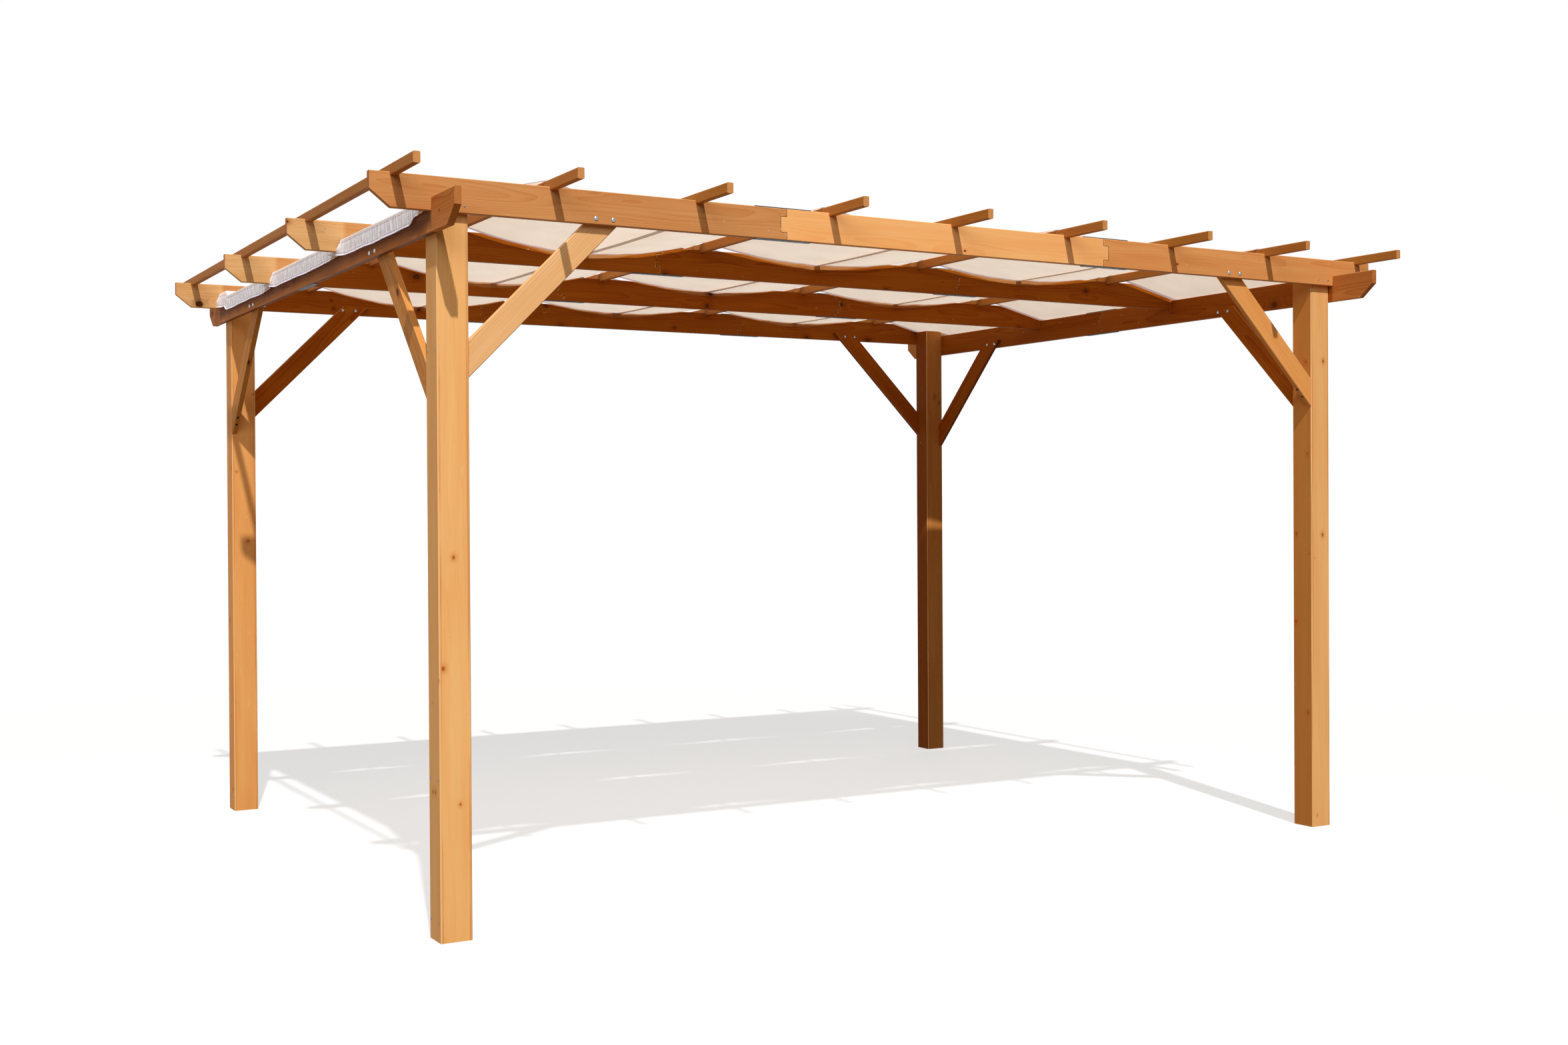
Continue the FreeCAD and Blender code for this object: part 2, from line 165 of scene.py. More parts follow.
class ClothLook(bpy.types.PropertyGroup):
    """Woven canopy strips."""

    sag_left: size_property("Left sag", "Drop of the cloth under the third batten", 0.072)
    sag_middle: size_property("Middle sag", "Drop of the cloth under the fifth batten", 0.051)
    sag_right: size_property("Right sag", "Drop of the cloth under the seventh batten", 0.050)
    hem_width: size_property("Hem width", "Double fold along each long edge", 0.022)
    stitch: size_property("Stitch length", "Length of one stitch", 0.006)
    upper: colour_property("Upper side", "Woven polyester in daylight", "E4E5E7")
    upper_faded: colour_property("Faded", "The same where it has faded unevenly", "DDDEE0")
    double: colour_property("Doubled", "Flaps and hems of doubled cloth", "F4F6FF")
    thread: colour_property("Thread", "Sewing thread", "B4A9B4")
    through: colour_property("Shining through", "Light that passes the weave", "CFC6BB")
    through_faded: colour_property("Through faded", "Light that passes the faded weave", "C8BFB3")
    through_double: colour_property("Through doubled", "Light that passes doubled cloth", "8A8A98")


class FittingLook(bpy.types.PropertyGroup):
    """Bolts, screws and splice plates."""

    bolt_head: size_property("Bolt head", "Radius of a domed bolt head", 0.0071)
    bolt_rise: size_property("Bolt rise", "Height of a domed bolt head", 0.0044)
    nut_corner: size_property("Nut", "Radius of a hexagon cap nut over its corners", 0.0070)
    screw_head: size_property("Screw head", "Radius of a screw head", 0.0032)
    zinc: colour_property("Zinc", "Zinc-plated steel", "A9ACAF")


class StageLook(bpy.types.PropertyGroup):
    """Floor, lights and camera."""

    sun: strength_property("Sun", "Strength of the main lamp", 3.3)
    sun_angle: bpy.props.FloatProperty(name="Sun width", description="Angle that softens its shadows",
                                       default=math.radians(1.0), subtype="ANGLE")
    fill: strength_property("Fill", "Power of the soft lamp low on the left", 22.0, "POWER")
    front: strength_property("Front", "Power of the soft lamp high in front", 420.0, "POWER")
    back: strength_property("Back", "Power of the soft lamp behind on the right", 300.0, "POWER")
    ambient: strength_property("Ambient", "Strength of the light from all round", 0.13)
    lens: bpy.props.FloatProperty(name="Lens", description="Focal length in mm on a 36 mm sensor", default=39.99,
                                  min=1.0)


def add_node(tree, kind, inputs=None, output=0, **settings):
    """Add one shader node, with its settings and with links or values for its inputs.

    It gives back the output that is asked for by number or name, and all of them for None.
    """
    node = tree.nodes.new("ShaderNode" + kind)
    for name, value in settings.items():
        setattr(node, name, value)
    for key, value in (inputs or {}).items():
        if isinstance(value, bpy.types.NodeSocket):
            tree.links.new(value, node.inputs[key])
        else:
            node.inputs[key].default_value = value
    return node.outputs if output is None else node.outputs[output]


def emptied(tree):
    """Clear a node tree and give back the function that adds nodes to it."""
    tree.nodes.clear()
    return partial(add_node, tree)


def new_material(name):
    """Material with an empty node tree, and the function that adds nodes to it."""
    material = bpy.data.materials.new(name)
    material.use_nodes = True
    return material, emptied(material.node_tree)


def apart(add, value, level):
    """How far a value is from a level: the size of their difference."""
    difference = add("Math", {0: value, 1: level}, operation="SUBTRACT")
    return add("Math", {0: difference}, operation="ABSOLUTE")


def streaks(add, place, lengths, seed, detail, output=0):
    """Noise drawn out along each axis by a length in the unit of the place."""
    drawn = add("VectorMath", {0: place, 1: [1 / length for length in lengths]}, operation="MULTIPLY")
    return add("TexNoise", {"Vector": drawn, "W": seed, "Scale": 1.0, "Detail": detail}, output,
               noise_dimensions="4D")


def layered(add, colour, layers):
    """A colour with others laid over it one after another, each as far as its mask says."""
    for mask, over in layers:
        colour = add("Mix", {0: mask, 6: colour, 7: over}, 2, data_type="RGBA")
    return colour


def backdrop_rays(add):
    """Mask of the rays that see the white backdrop: the camera's, mirrored ones, and those through clear things.

    Light that a cloth scatters through itself counts as transmitted and as diffuse, and so isn't one of them.
    """
    ray = add("LightPath", output=None)
    clear = add("Math", {0: ray["Is Transmission Ray"], 1: ray["Is Diffuse Ray"]}, operation="SUBTRACT",
                use_clamp=True)
    seen = add("Math", {0: ray["Is Camera Ray"], 1: ray["Is Glossy Ray"]}, operation="MAXIMUM")
    return add("Math", {0: seen, 1: clear}, operation="MAXIMUM")


def joint_line(add, place, joint):
    """Mask of the line where two spliced pieces meet, and of a band round it that chips off.

    A joint is (axis, mirrored, shoulder, tip, middle): the line runs across the axis at the shoulder, and at the tip
    over the 50 mm of the tongue. Each mask is the larger one of the upright lines and the two edges of the tongue.
    """
    axis, mirrored, shoulder, tip, middle = joint
    place = add("SeparateXYZ", {0: place}, None)
    along = add("Math", {0: place[axis]}, operation="ABSOLUTE") if mirrored else place[axis]
    up = apart(add, place[2], middle)
    tongue = add("Math", {0: up, 1: TONGUE_HALF}, operation="LESS_THAN")
    line = add("Math", {0: tongue, 1: tip - shoulder, 2: shoulder}, operation="MULTIPLY_ADD")
    beyond = apart(add, along, (shoulder + tip) / 2)
    beyond = add("Math", {0: beyond, 1: (tip - shoulder) / 2}, operation="GREATER_THAN")
    level = add("Math", {0: beyond, 1: apart(add, up, TONGUE_HALF)}, operation="ADD")
    nearest = add("Math", {0: apart(add, along, line), 1: level}, operation="MINIMUM")
    gap = add("MapRange", {0: nearest, 1: 0.0006, 2: 0.0014, 3: 1.0, 4: 0.0})
    band = add("MapRange", {0: nearest, 1: 0.001, 2: 0.006, 3: 1.0, 4: 0.0})
    return gap, band


def long_beam_reach(add, place):
    """Mask of painted sunlight on a beam under the canopy, laid as paler stain: its tips, and the part above the
    cloth's sagging hem, where the sun reaches it.

    The hem's height is a constant less a squared cosine of the distance along the beam, low under every second batten.
    """
    x, _, z = add("SeparateXYZ", {0: place}, None)
    tips = add("Math", {0: x}, operation="ABSOLUTE")
    tips = add("MapRange", {0: tips, 1: 1.79, 2: 1.82})
    turn = add("Math", {0: x, 1: math.pi / (2 * BATTEN_PITCH)}, operation="MULTIPLY")
    hang = add("Math", {0: turn}, operation="COSINE")
    hang = add("Math", {0: hang, 1: hang}, operation="MULTIPLY")
    # The left sag is 72 mm and the others are 50.5 mm.
    sag = add("Math", {0: x, 1: -BATTEN_PITCH}, operation="LESS_THAN")
    sag = add("Math", {0: sag, 1: 0.0215, 2: 0.0505}, operation="MULTIPLY_ADD")
    above = add("Math", {0: hang, 1: sag, 2: z}, operation="MULTIPLY_ADD")
    above = add("MapRange", {0: above, 1: HEM_HEIGHT, 2: HEM_HEIGHT + 0.006, 3: 0.0, 4: 0.5})
    return add("Math", {0: tips, 1: above}, operation="MAXIMUM")


def end_beam_reach(add, place, normal, side):
    """Mask of painted sunlight on an end beam, laid as paler stain: its tips, and the lower part of its outer face in
    ragged patches, fading upwards.
    """
    _, y, z = add("SeparateXYZ", {0: place}, None)
    tips = add("Math", {0: y}, operation="ABSOLUTE")
    tips = add("MapRange", {0: tips, 1: 1.365, 2: 1.375})
    outward = add("SeparateXYZ", {0: normal})
    outward = add("MapRange", {0: outward, 1: 0.5 * side, 2: 0.7 * side})
    ragged = add("TexNoise", {"W": y, "Scale": 7.0, "Detail": 3.0}, noise_dimensions="1D")
    edge = add("Math", {0: ragged, 1: -0.02, 2: z}, operation="MULTIPLY_ADD")
    low = add("MapRange", {0: edge, 1: 2.062, 2: 2.034, 3: 0.0, 4: 1.0})
    low = add("Math", {0: low, 1: outward}, operation="MULTIPLY")
    return add("Math", {0: tips, 1: low}, operation="MAXIMUM")


def knot_pattern(add, local, lean, look, seed, largest, knots):
    """Knots scattered over each face by the face's own two directions, a little longer along the grain.

    Gives the mask of the knots, how near the next one is, and by how many millimetres it pushes the rings aside.
    """
    along, narrow, broad = add("SeparateXYZ", {0: local}, None)
    broad_face = add("Math", {0: lean[1], 1: lean[2]}, operation="GREATER_THAN")
    narrow = add("Math", {0: narrow, 1: OTHER_FACE}, operation="ADD")
    over = add("Mix", {0: broad_face, 2: narrow, 3: broad}, data_type="FLOAT")
    spot = add("CombineXYZ", {0: along, 1: over})
    shift = (seed * 3.71 % 17, seed * 1.37 % 13, 0.0)
    scale = (MM / look.knot_spacing, 1 / 60, 1.0)
    cells = add("Mapping", {"Vector": spot, "Location": shift, "Scale": scale}, vector_type="POINT")
    cells = add("TexVoronoi", {"Vector": cells, "Scale": 1.0}, None, voronoi_dimensions="2D")
    middle = add("Mapping", {"Vector": cells["Position"], "Location": shift, "Scale": scale}, vector_type="TEXTURE")
    off = add("VectorMath", {0: spot, 1: middle}, operation="SUBTRACT")
    off = add("VectorMath", {0: off, 1: (0.75, 1.0, 1.0)}, operation="MULTIPLY")
    away = add("VectorMath", {0: off}, "Value", operation="LENGTH")
    chance = add("SeparateColor", {0: cells["Color"]})
    radius = add("MapRange", {0: chance, 1: 1 - 0.45 * knots, 2: 1.0, 3: 0.0, 4: largest})
    inside = add("Math", {0: radius, 1: away}, operation="SUBTRACT")
    knot = add("MapRange", {0: inside, 1: 0.2, 2: 2.2}, interpolation_type="SMOOTHSTEP")
    reach = add("Math", {0: radius, 1: 5.0}, operation="MULTIPLY")
    near = add("MapRange", {0: away, 1: 0.0, 2: reach, 3: 1.0, 4: 0.0}, interpolation_type="SMOOTHSTEP")
    return knot, near, add("Math", {0: near, 1: radius}, operation="MULTIPLY")


def ring_pattern(add, local, pushed, look, seed, pith):
    """Late wood of the growth rings: the distance from a wandering pith, in ring widths, less its whole number.

    A power makes each ring dark towards its end only, and noise over the years makes some rings stronger.
    """
    bend = streaks(add, local, (620, 95, 95), seed, 2.0, "Color")
    bend = add("VectorMath", {0: bend, 1: (0.0, 34.0, 34.0), 2: (0.0, -17.0 - pith[0], -17.0 - pith[1])},
               operation="MULTIPLY_ADD")
    across = add("VectorMath", {0: local, 1: (0.0, 1.0, 1.0), 2: bend}, operation="MULTIPLY_ADD")
    distance = add("VectorMath", {0: across}, "Value", operation="LENGTH")
    distance = add("Math", {0: add("SeparateXYZ", {0: local}), 1: 0.006, 2: distance}, operation="MULTIPLY_ADD")
    distance = add("Math", {0: pushed, 1: 0.9, 2: distance}, operation="MULTIPLY_ADD")
    years = add("Math", {0: distance, 1: MM / look.ring_width}, operation="MULTIPLY")
    season = add("Math", {0: years}, operation="FRACT")
    late_wood = add("Math", {0: season, 1: 2.6}, operation="POWER")
    good_years = add("Math", {0: years, 1: 0.35, 2: seed}, operation="MULTIPLY_ADD")
    good_years = add("TexNoise", {"W": good_years, "Scale": 1.0}, noise_dimensions="1D")
    return add("Math", {0: late_wood, 1: good_years}, operation="MULTIPLY")


def post_layers(add, look, local, normal, clouds, darkness, colour, seed, right):
    """Masks and colours of what is seen on posts only."""
    # Beside the arrises the stain ran together in a reddish line, and pale scuffs run up the faces.
    _, y, z = add("SeparateXYZ", {0: add("VectorMath", {0: local}, operation="ABSOLUTE")}, None)
    beside = apart(add, add("Math", {0: y, 1: z}, operation="MINIMUM"), 41.5)
    beside = add("MapRange", {0: beside, 1: 0.5, 2: 3.0, 3: 1.0, 4: 0.0})
    here = add("MapRange", {0: clouds, 1: 0.42, 2: 0.6, 3: 0.0, 4: 0.6})
    run = add("Math", {0: beside, 1: here}, operation="MULTIPLY")
    smears = streaks(add, local, (75, 11, 11), seed + 3.0, 4.0)
    smears = add("MapRange", {0: smears, 1: 0.66, 2: 0.78, 3: 0.0, 4: 0.5})
    # Painted shade: the back, and the left side of a right post, turn from the sun and are painted darker and redder.
    x, y, _ = add("SeparateXYZ", {0: normal}, None)
    shady = add("MapRange", {0: y, 1: 0.3, 2: 0.7})
    if right:
        left = add("MapRange", {0: x, 1: -0.3, 2: -0.7})
        shady = add("Math", {0: shady, 1: left}, operation="MAXIMUM")
    deep = layered(add, shaded(colour, 1.35, 0.78), [(darkness, shaded(colour, 1.8, 0.78))])
    return [(run, look.run_colour), (smears, look.worn_colour), (shady, deep)]


def stained_softwood(name, look, centre, turn, colour, end_colour, pith, seed, post, grain, knots, joint, covered):
    """Spruce boards, planed and brushed with a satin brown stain.

    The rings are cylinders round a pith beside the board, drawn out and bent a little along it, so that a flat-sawn
    face gets broad arches and a quarter-sawn one straight lines. The stain darkens the late wood, gathers in fibre
    streaks and wears off the arrises. Lengths inside the pattern are in millimetres, with the grain along X.
    """
    material, add = new_material(name)
    place = add("TexCoord", output="Object")
    local = add("Mapping", {"Vector": place, "Location": centre, "Rotation": turn, "Scale": (MM, MM, MM)},
                vector_type="TEXTURE")
    normal = add("NewGeometry", output="Normal")
    lean = add("Mapping", {"Vector": normal, "Rotation": turn}, vector_type="TEXTURE")
    lean = add("SeparateXYZ", {0: add("VectorMath", {0: lean}, operation="ABSOLUTE")}, None)

    # Fibres are drawn coarser than real ones so that they show, and clouds are the uneven uptake of the stain.
    largest = look.knot_radius / MM * (0.5 if post else 1.0)
    knot, near, pushed = knot_pattern(add, local, lean, look, seed, largest, knots)
    rings = ring_pattern(add, local, pushed, look, seed, pith)
    fibres = streaks(add, local, (170, 2.4, 2.4), seed, 2.0)
    clouds = streaks(add, local, (420, 34, 34), seed + 5.0, 3.0)
    scuffs = streaks(add, local, (26, 7, 7), seed + 9.0, 2.0)
    darkness = add("Math", {0: rings, 1: 1.1 * grain, 2: -0.42}, operation="MULTIPLY_ADD")
    darkness = add("Math", {0: fibres, 1: 0.5 * grain, 2: darkness}, operation="MULTIPLY_ADD")
    darkness = add("Math", {0: clouds, 1: 0.95, 2: darkness}, operation="MULTIPLY_ADD", use_clamp=True)
    layers = [(darkness, shaded(colour, 1.5))]
    if post:
        layers += post_layers(add, look, local, normal, clouds, darkness, colour, seed, centre[0] > 0)
    # Covered pieces: a paler layer paints sunlight where the sun reaches them, over the deep stain that paints the
    # shade under the canopy.
    if covered:
        if turn == ALONG_X:
            sunlit_pale, reached = look.sunlit_bleached_colour, long_beam_reach(add, place)
        else:
            sunlit_pale = look.sunlit_bleached_end_beam
            reached = end_beam_reach(add, place, normal, math.copysign(1, centre[0]))
        layers.append((reached, layered(add, shaded(sunlit_pale, 0.9), [(darkness, shaded(sunlit_pale, 1.5))])))

    halo = add("Math", {0: near, 1: 2.5}, operation="POWER")
    halo = add("Math", {0: halo, 1: 0.55}, operation="MULTIPLY")
    dirt = add("MapRange", {0: scuffs, 1: 0.70, 2: 0.76, 3: 0.0, 4: 0.35})
    chips = add("MapRange", {0: scuffs, 1: 0.27, 2: 0.23, 3: 0.0, 4: 0.7})
    # Sawn ends are paler, and a chamfer is where the surface leans equally to both faces of the board.
    sawn = add("MapRange", {0: lean[0], 1: 0.8, 2: 0.9})
    cut_rings = add("Math", {0: rings, 1: 1.6, 2: 0.1}, operation="MULTIPLY_ADD", use_clamp=True)
    both = add("Math", {0: lean[1], 1: lean[2]}, operation="MULTIPLY")
    rubbed = add("MapRange", {0: clouds, 1: 0.35, 2: 0.65, 3: 0.3, 4: 1.0})
    rubbed = add("Math", {0: rubbed, 1: 0.95 if post else look.wear}, operation="MULTIPLY")
    arris = add("MapRange", {0: both, 1: 0.3, 2: 0.5, 3: 0.0, 4: rubbed})
    layers += [
        (halo, shaded(colour, 2.4)), (knot, look.post_knot_colour if post else look.knot_colour),
        (dirt, shaded(colour, 1.6)), (chips, look.worn_colour),
        (sawn, layered(add, end_colour, [(cut_rings, shaded(end_colour, 1.6))])), (arris, look.worn_colour)]
    if joint:
        gap, band = joint_line(add, place, joint)
        split = add("TexNoise", {"Vector": place, "Scale": 220.0, "Detail": 2.0})
        split = add("MapRange", {0: split, 1: 0.55, 2: 0.6})
        split = add("Math", {0: split, 1: band}, operation="MULTIPLY")
        layers += [(split, look.worn_colour), (gap, look.knot_colour)]

    relief = add("Math", {0: fibres, 1: 0.7, 2: rings}, operation="MULTIPLY_ADD")
    shader = add("BsdfPrincipled", {
        "Base Color": layered(add, shaded(colour, 0.9), layers),
        "Roughness": add("MapRange", {0: fibres, 1: 0.3, 2: 0.7, 3: 0.48, 4: 0.62}),
        "Normal": add("Bump", {"Height": relief, "Strength": 0.35, "Distance": 0.0006}),
        "IOR": 1.5, "Specular IOR Level": 0.04})
    add("OutputMaterial", {"Surface": shader}, None)
    return material


def coat(node, material):
    """Give a CAD node one material on all its slots."""
    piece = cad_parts[node]
    if not piece.data.materials:
        piece.data.materials.append(material)
    for slot in piece.material_slots:
        slot.material = material


def finish_timber(nodes, end_colour, post=False, joint=None, covered=False):
    """Stain pieces; each has a name, the turn of its grain, a colour, the pith's place and shares of grain and knots.

    The pith's place is in millimetres beside the middle of the piece, over its thickness and over its width. Covered
    pieces get painted light and shade: a deep stain that paints the shade under the canopy, and a paler layer, as of
    bleaching, that paints sunlight where the sun reaches them.
    """
    look = bpy.context.scene.pergola_timber
    for name, turn, code, pith, grain, knots in nodes:
        seed = 1.0 + sorted(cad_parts).index(name) * 1.618
        low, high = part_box(name)
        coat(name, stained_softwood("stained_softwood_" + name, look, tuple((low + high) / 2), turn, linear(code),
                                    end_colour, pith, seed, post, grain, knots, joint, covered))


def zinc_plated_steel(name, colour, roughness):
    """Zinc-plated steel: a dull grey metal with the cloudy spangle that a zinc bath leaves, about 6 mm across."""
    material, add = new_material(name)
    place = add("TexCoord", output="Object")
    spangle = add("SeparateColor", {0: add("TexVoronoi", {"Vector": place, "Scale": 1 / 0.006}, "Color")})
    smears = add("TexNoise", {"Vector": place, "Scale": 1 / 0.03, "Detail": 3.0})
    worn = add("Math", {0: spangle, 1: 0.4, 2: smears}, operation="MULTIPLY_ADD")
    rough = add("MapRange", {0: worn, 1: 0.2, 2: 1.0, 3: roughness + 0.12, 4: roughness})
    metal = layered(add, shaded(colour, 1.6), [(worn, colour)])
    shader = add("BsdfPrincipled", {"Base Color": metal, "Metallic": 1.0, "Roughness": rough})
    add("OutputMaterial", {"Surface": shader}, None)
    return material


def woven_polyester(look, length):
    """Shade cloth of woven polyester: matt and near white in daylight, and warm where the sun shines through it.

    The piece's UV map runs along the strip in metres and across it in metres. Threads are drawn 3 mm apart, coarser
    than the real weave, so that they show. Hems are double and let less light through; stitches run beside them.
    """
    material, add = new_material("woven_polyester")
    spot = add("UVMap", uv_map="cloth")
    along, over, _ = add("SeparateXYZ", {0: spot}, None)
    from_end, from_edge = (
        add("Math", {0: whole / 2, 1: apart(add, run, whole / 2)}, operation="SUBTRACT")
        for run, whole in ((along, length), (over, STRIP_WIDTH)))

    # Doubled: the hems, and each flap but for the gusset at its front end.
    hem = add("Math", {0: from_edge, 1: look.hem_width}, operation="LESS_THAN")
    flap = add("Math", {0: from_end, 1: 0.058}, operation="LESS_THAN")
    gusset = add("Math", {0: over, 1: 0.07}, operation="GREATER_THAN")
    flap = add("Math", {0: flap, 1: gusset}, operation="MULTIPLY")
    doubled = add("Math", {0: hem, 1: flap}, operation="MAXIMUM")

    # Two rows of stitches on each flap and one along each hem.
    rows = 0.0
    for line, run, distance in ((from_edge, along, look.hem_width - 0.003), (from_end, over, 0.014),
                                (from_end, over, 0.054)):
        near = add("MapRange", {0: apart(add, line, distance), 1: 0.0004, 2: 0.0026, 3: 1.0, 4: 0.0})
        beat = add("Math", {0: run, 1: 2 * math.pi / look.stitch}, operation="MULTIPLY")
        beat = add("Math", {0: beat}, operation="SINE")
        beat = add("MapRange", {0: beat, 1: -0.5, 2: 0.5, 3: 0.35, 4: 1.0})
        row = add("Math", {0: near, 1: beat}, operation="MULTIPLY")
        rows = add("Math", {0: rows, 1: row}, operation="MAXIMUM")

    threads = [add("Math", {0: run, 1: 2 * math.pi / THREAD}, operation="MULTIPLY") for run in (along, over)]
    threads = [add("Math", {0: thread}, operation="SINE") for thread in threads]
    weave = add("Math", {0: threads[0], 1: threads[1]}, operation="MULTIPLY")
    uneven = add("TexNoise", {"Vector": spot, "Scale": 9.0, "Detail": 4.0})
    slack = add("TexNoise", {"Vector": spot, "Scale": 60.0, "Detail": 2.0})
    faded = add("MapRange", {0: uneven, 1: 0.35, 2: 0.7})
    face = layered(add, look.upper, [(faded, look.upper_faded), (doubled, look.double), (rows, look.thread)])
    glow = layered(add, look.through, [(faded, look.through_faded), (doubled, look.through_double)])

    puckers = add("VectorMath", {0: spot, 1: (1 / 0.045, 1 / 0.013, 1.0)}, operation="MULTIPLY")
    puckers = add("TexNoise", {"Vector": puckers, "Scale": 1.0, "Detail": 1.0})
    puckers = add("Math", {0: puckers, 1: doubled}, operation="MULTIPLY")
    height = slack
    for pattern, share in ((weave, 0.12), (puckers, 6.0), (rows, -0.8)):
        height = add("Math", {0: pattern, 1: share, 2: height}, operation="MULTIPLY_ADD")
    bump = add("Bump", {"Height": height, "Strength": 0.5, "Distance": 0.0015})
    cloth = add("BsdfPrincipled", {"Base Color": face, "Roughness": 0.85, "Specular IOR Level": 0.1, "Normal": bump})
    passing = add("BsdfTranslucent", {"Color": glow, "Normal": bump})
    add("OutputMaterial", {"Surface": add("AddShader", {0: cloth, 1: passing})}, None)
    return material


def linked(name, data):
    """New object that holds this data, in the scene's collection."""
    thing = bpy.data.objects.new(name, data)
    bpy.context.scene.collection.objects.link(thing)
    return thing


def shown(name, vertices, faces, material, smooth=True, uv=None):
    """Make a mesh piece at the origin that rides on the frame; faces is a list of vertex number lists."""
    mesh = bpy.data.meshes.new(name)
    mesh.from_pydata(vertices.tolist(), [], faces)
    mesh.polygons.foreach_set("use_smooth", np.full(len(mesh.polygons), smooth))
    if uv is not None:
        corners = np.empty(len(mesh.loops), np.int32)
        mesh.loops.foreach_get("vertex_index", corners)
        layer = mesh.uv_layers.new(name="cloth")
        layer.data.foreach_set("uv", uv[corners].astype(np.float32).ravel())
    mesh.materials.append(material)
    mesh.update()
    piece = linked(name, mesh)
    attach(piece, BODY)
    return piece


def quads(rows, columns, closed=False):
    """Faces of a grid of vertices, row after row; closed joins each row's last vertex to its first."""
    number = np.arange(rows * columns).reshape(rows, columns)
    beside = np.roll(number, -1, axis=1)
    if not closed:
        number, beside = number[:, :-1], beside[:, :-1]
    return np.stack([number[:-1], beside[:-1], beside[1:], number[1:]], axis=-1).reshape(-1, 4)


def turned(profile, sides):
    """Solid of revolution round Z: each (radius, height) of the profile goes once round, and both ends are closed."""
    radius, height = np.array(profile).T
    angle = 2 * np.pi * np.arange(sides) / sides
    ring = np.stack([np.cos(angle), np.sin(angle)], axis=-1)
    vertices = np.concatenate([radius[:, None, None] * ring, np.repeat(height, sides).reshape(-1, sides, 1)], axis=-1)
    number = np.arange(len(profile) * sides).reshape(-1, sides)
    return vertices.reshape(-1, 3), quads(len(profile), sides, closed=True), [number[0][::-1], number[-1]]


def domed(radius, foot, rise):
    """Profile of a dome: its radius goes with the cosine and its height with the sine of an angle up to 79 degrees."""
    angle = np.linspace(0, 0.44 * np.pi, 7)
    return list(zip(radius * np.cos(angle), foot + rise * np.sin(angle)))


def fasten(name, shape, places, material, smooth):
    """Make one piece of the same turned shape at several places, each (point, direction that its Z axis takes)."""
    vertices, sides, caps = shape
    frames = np.array([Matrix.Translation(point) @ Vector(way).to_track_quat("Z", "Y").to_matrix().to_4x4()
                       for point, way in places])
    moved = np.einsum("kij,nj->kni", frames[:, :3, :3], vertices) + frames[:, None, :3, 3]
    step = np.arange(len(places))[:, None, None] * len(vertices)
    faces = (sides[None] + step).reshape(-1, sides.shape[1]).tolist()
    for cap in caps:
        faces += (cap[None] + step[:, 0]).tolist()
    shown(name, moved.reshape(-1, 3), faces, material, smooth)


def face_of(node, axis, side):
    """Where a CAD node ends along an axis, on its lower side for -1 and on its upper side for 1."""
    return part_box(node)[1 if side > 0 else 0][axis]


def middle_of(node, axis):
    """Where the middle of a CAD node is along an axis."""
    low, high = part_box(node)
    return (low[axis] + high[axis]) / 2


def half_line(side, ledge_top, ledge_inner, flap_drop):
    """Corner points of a strip's line from the outermost crest on one side out to the flap's lower edge, as (x, z)."""
    ledge = ledge_top + CLOTH_LIFT
    return np.array([(side * (3 * BATTEN_PITCH + CREST_HALF), CREST_TOP), (side * ledge_inner, ledge),
                     (side * -FLAP_FACE, ledge), (side * -FLAP_FACE, ledge - flap_drop)])


def run_length(points):
    return np.linalg.norm(np.diff(points, axis=0), axis=1).sum()


def hanging(left, right, sag, count=40):
    """Arc of a circle between two crests of one height; radius = (half chord squared + sag squared) / twice the sag."""
    half = (right - left) / 2
    radius = (half ** 2 + sag ** 2) / (2 * sag)
    offset = np.linspace(-half, half, count + 2)[1:-1]
    drop = np.sqrt(radius ** 2 - offset ** 2) - (radius - sag)
    return np.stack([left + half + offset, CREST_TOP - drop], axis=-1)


def strip_line(look, ledge_top, ledge_inner, flap_drop):
    """Line of a strip seen from the front, from the left flap's edge to the right one's, as (x, z)."""
    parts = [half_line(-1, ledge_top, ledge_inner, flap_drop)[::-1]]
    for step, sag in ((-3, look.sag_left), (-1, look.sag_middle), (1, look.sag_right)):
        start = step * BATTEN_PITCH + CREST_HALF
        stop = (step + 2) * BATTEN_PITCH - CREST_HALF
        parts += [[(start, CREST_TOP)], hanging(start, stop, sag), [(stop, CREST_TOP)]]
    return np.concatenate(parts + [half_line(1, ledge_top, ledge_inner, flap_drop)])


def sampled(line, stations, count=6000, rounding=0.010):
    """Points of a line at given distances along it, its corners rounded by a running mean."""
    steps = np.concatenate([[0.0], np.cumsum(np.linalg.norm(np.diff(line, axis=0), axis=1))])
    fine = np.linspace(0, steps[-1], count)
    points = np.stack([np.interp(fine, steps, line[:, axis]) for axis in (0, 1)], axis=-1)
    window = max(1, int(rounding / (steps[-1] / count)))
    kernel = np.ones(window) / window
    padded = np.concatenate([points[:1].repeat(window, 0), points, points[-1:].repeat(window, 0)])
    smooth = np.stack([np.convolve(padded[:, axis], kernel, "same") for axis in (0, 1)], axis=-1)[window:-window]
    return np.stack([np.interp(stations, fine, smooth[:, axis]) for axis in (0, 1)], axis=-1)


def waves(position, lengths, seed):
    """Sum of sine waves of given lengths, each with a random start and weight, between about -1 and 1."""
    random = np.random.default_rng(seed)
    start = random.uniform(0, 2 * np.pi, len(lengths))
    weight = random.uniform(0.5, 1.0, len(lengths))
    total = sum(w * np.sin(2 * np.pi * position / length + s) for length, s, w in zip(lengths, start, weight))
    return total / weight.sum()


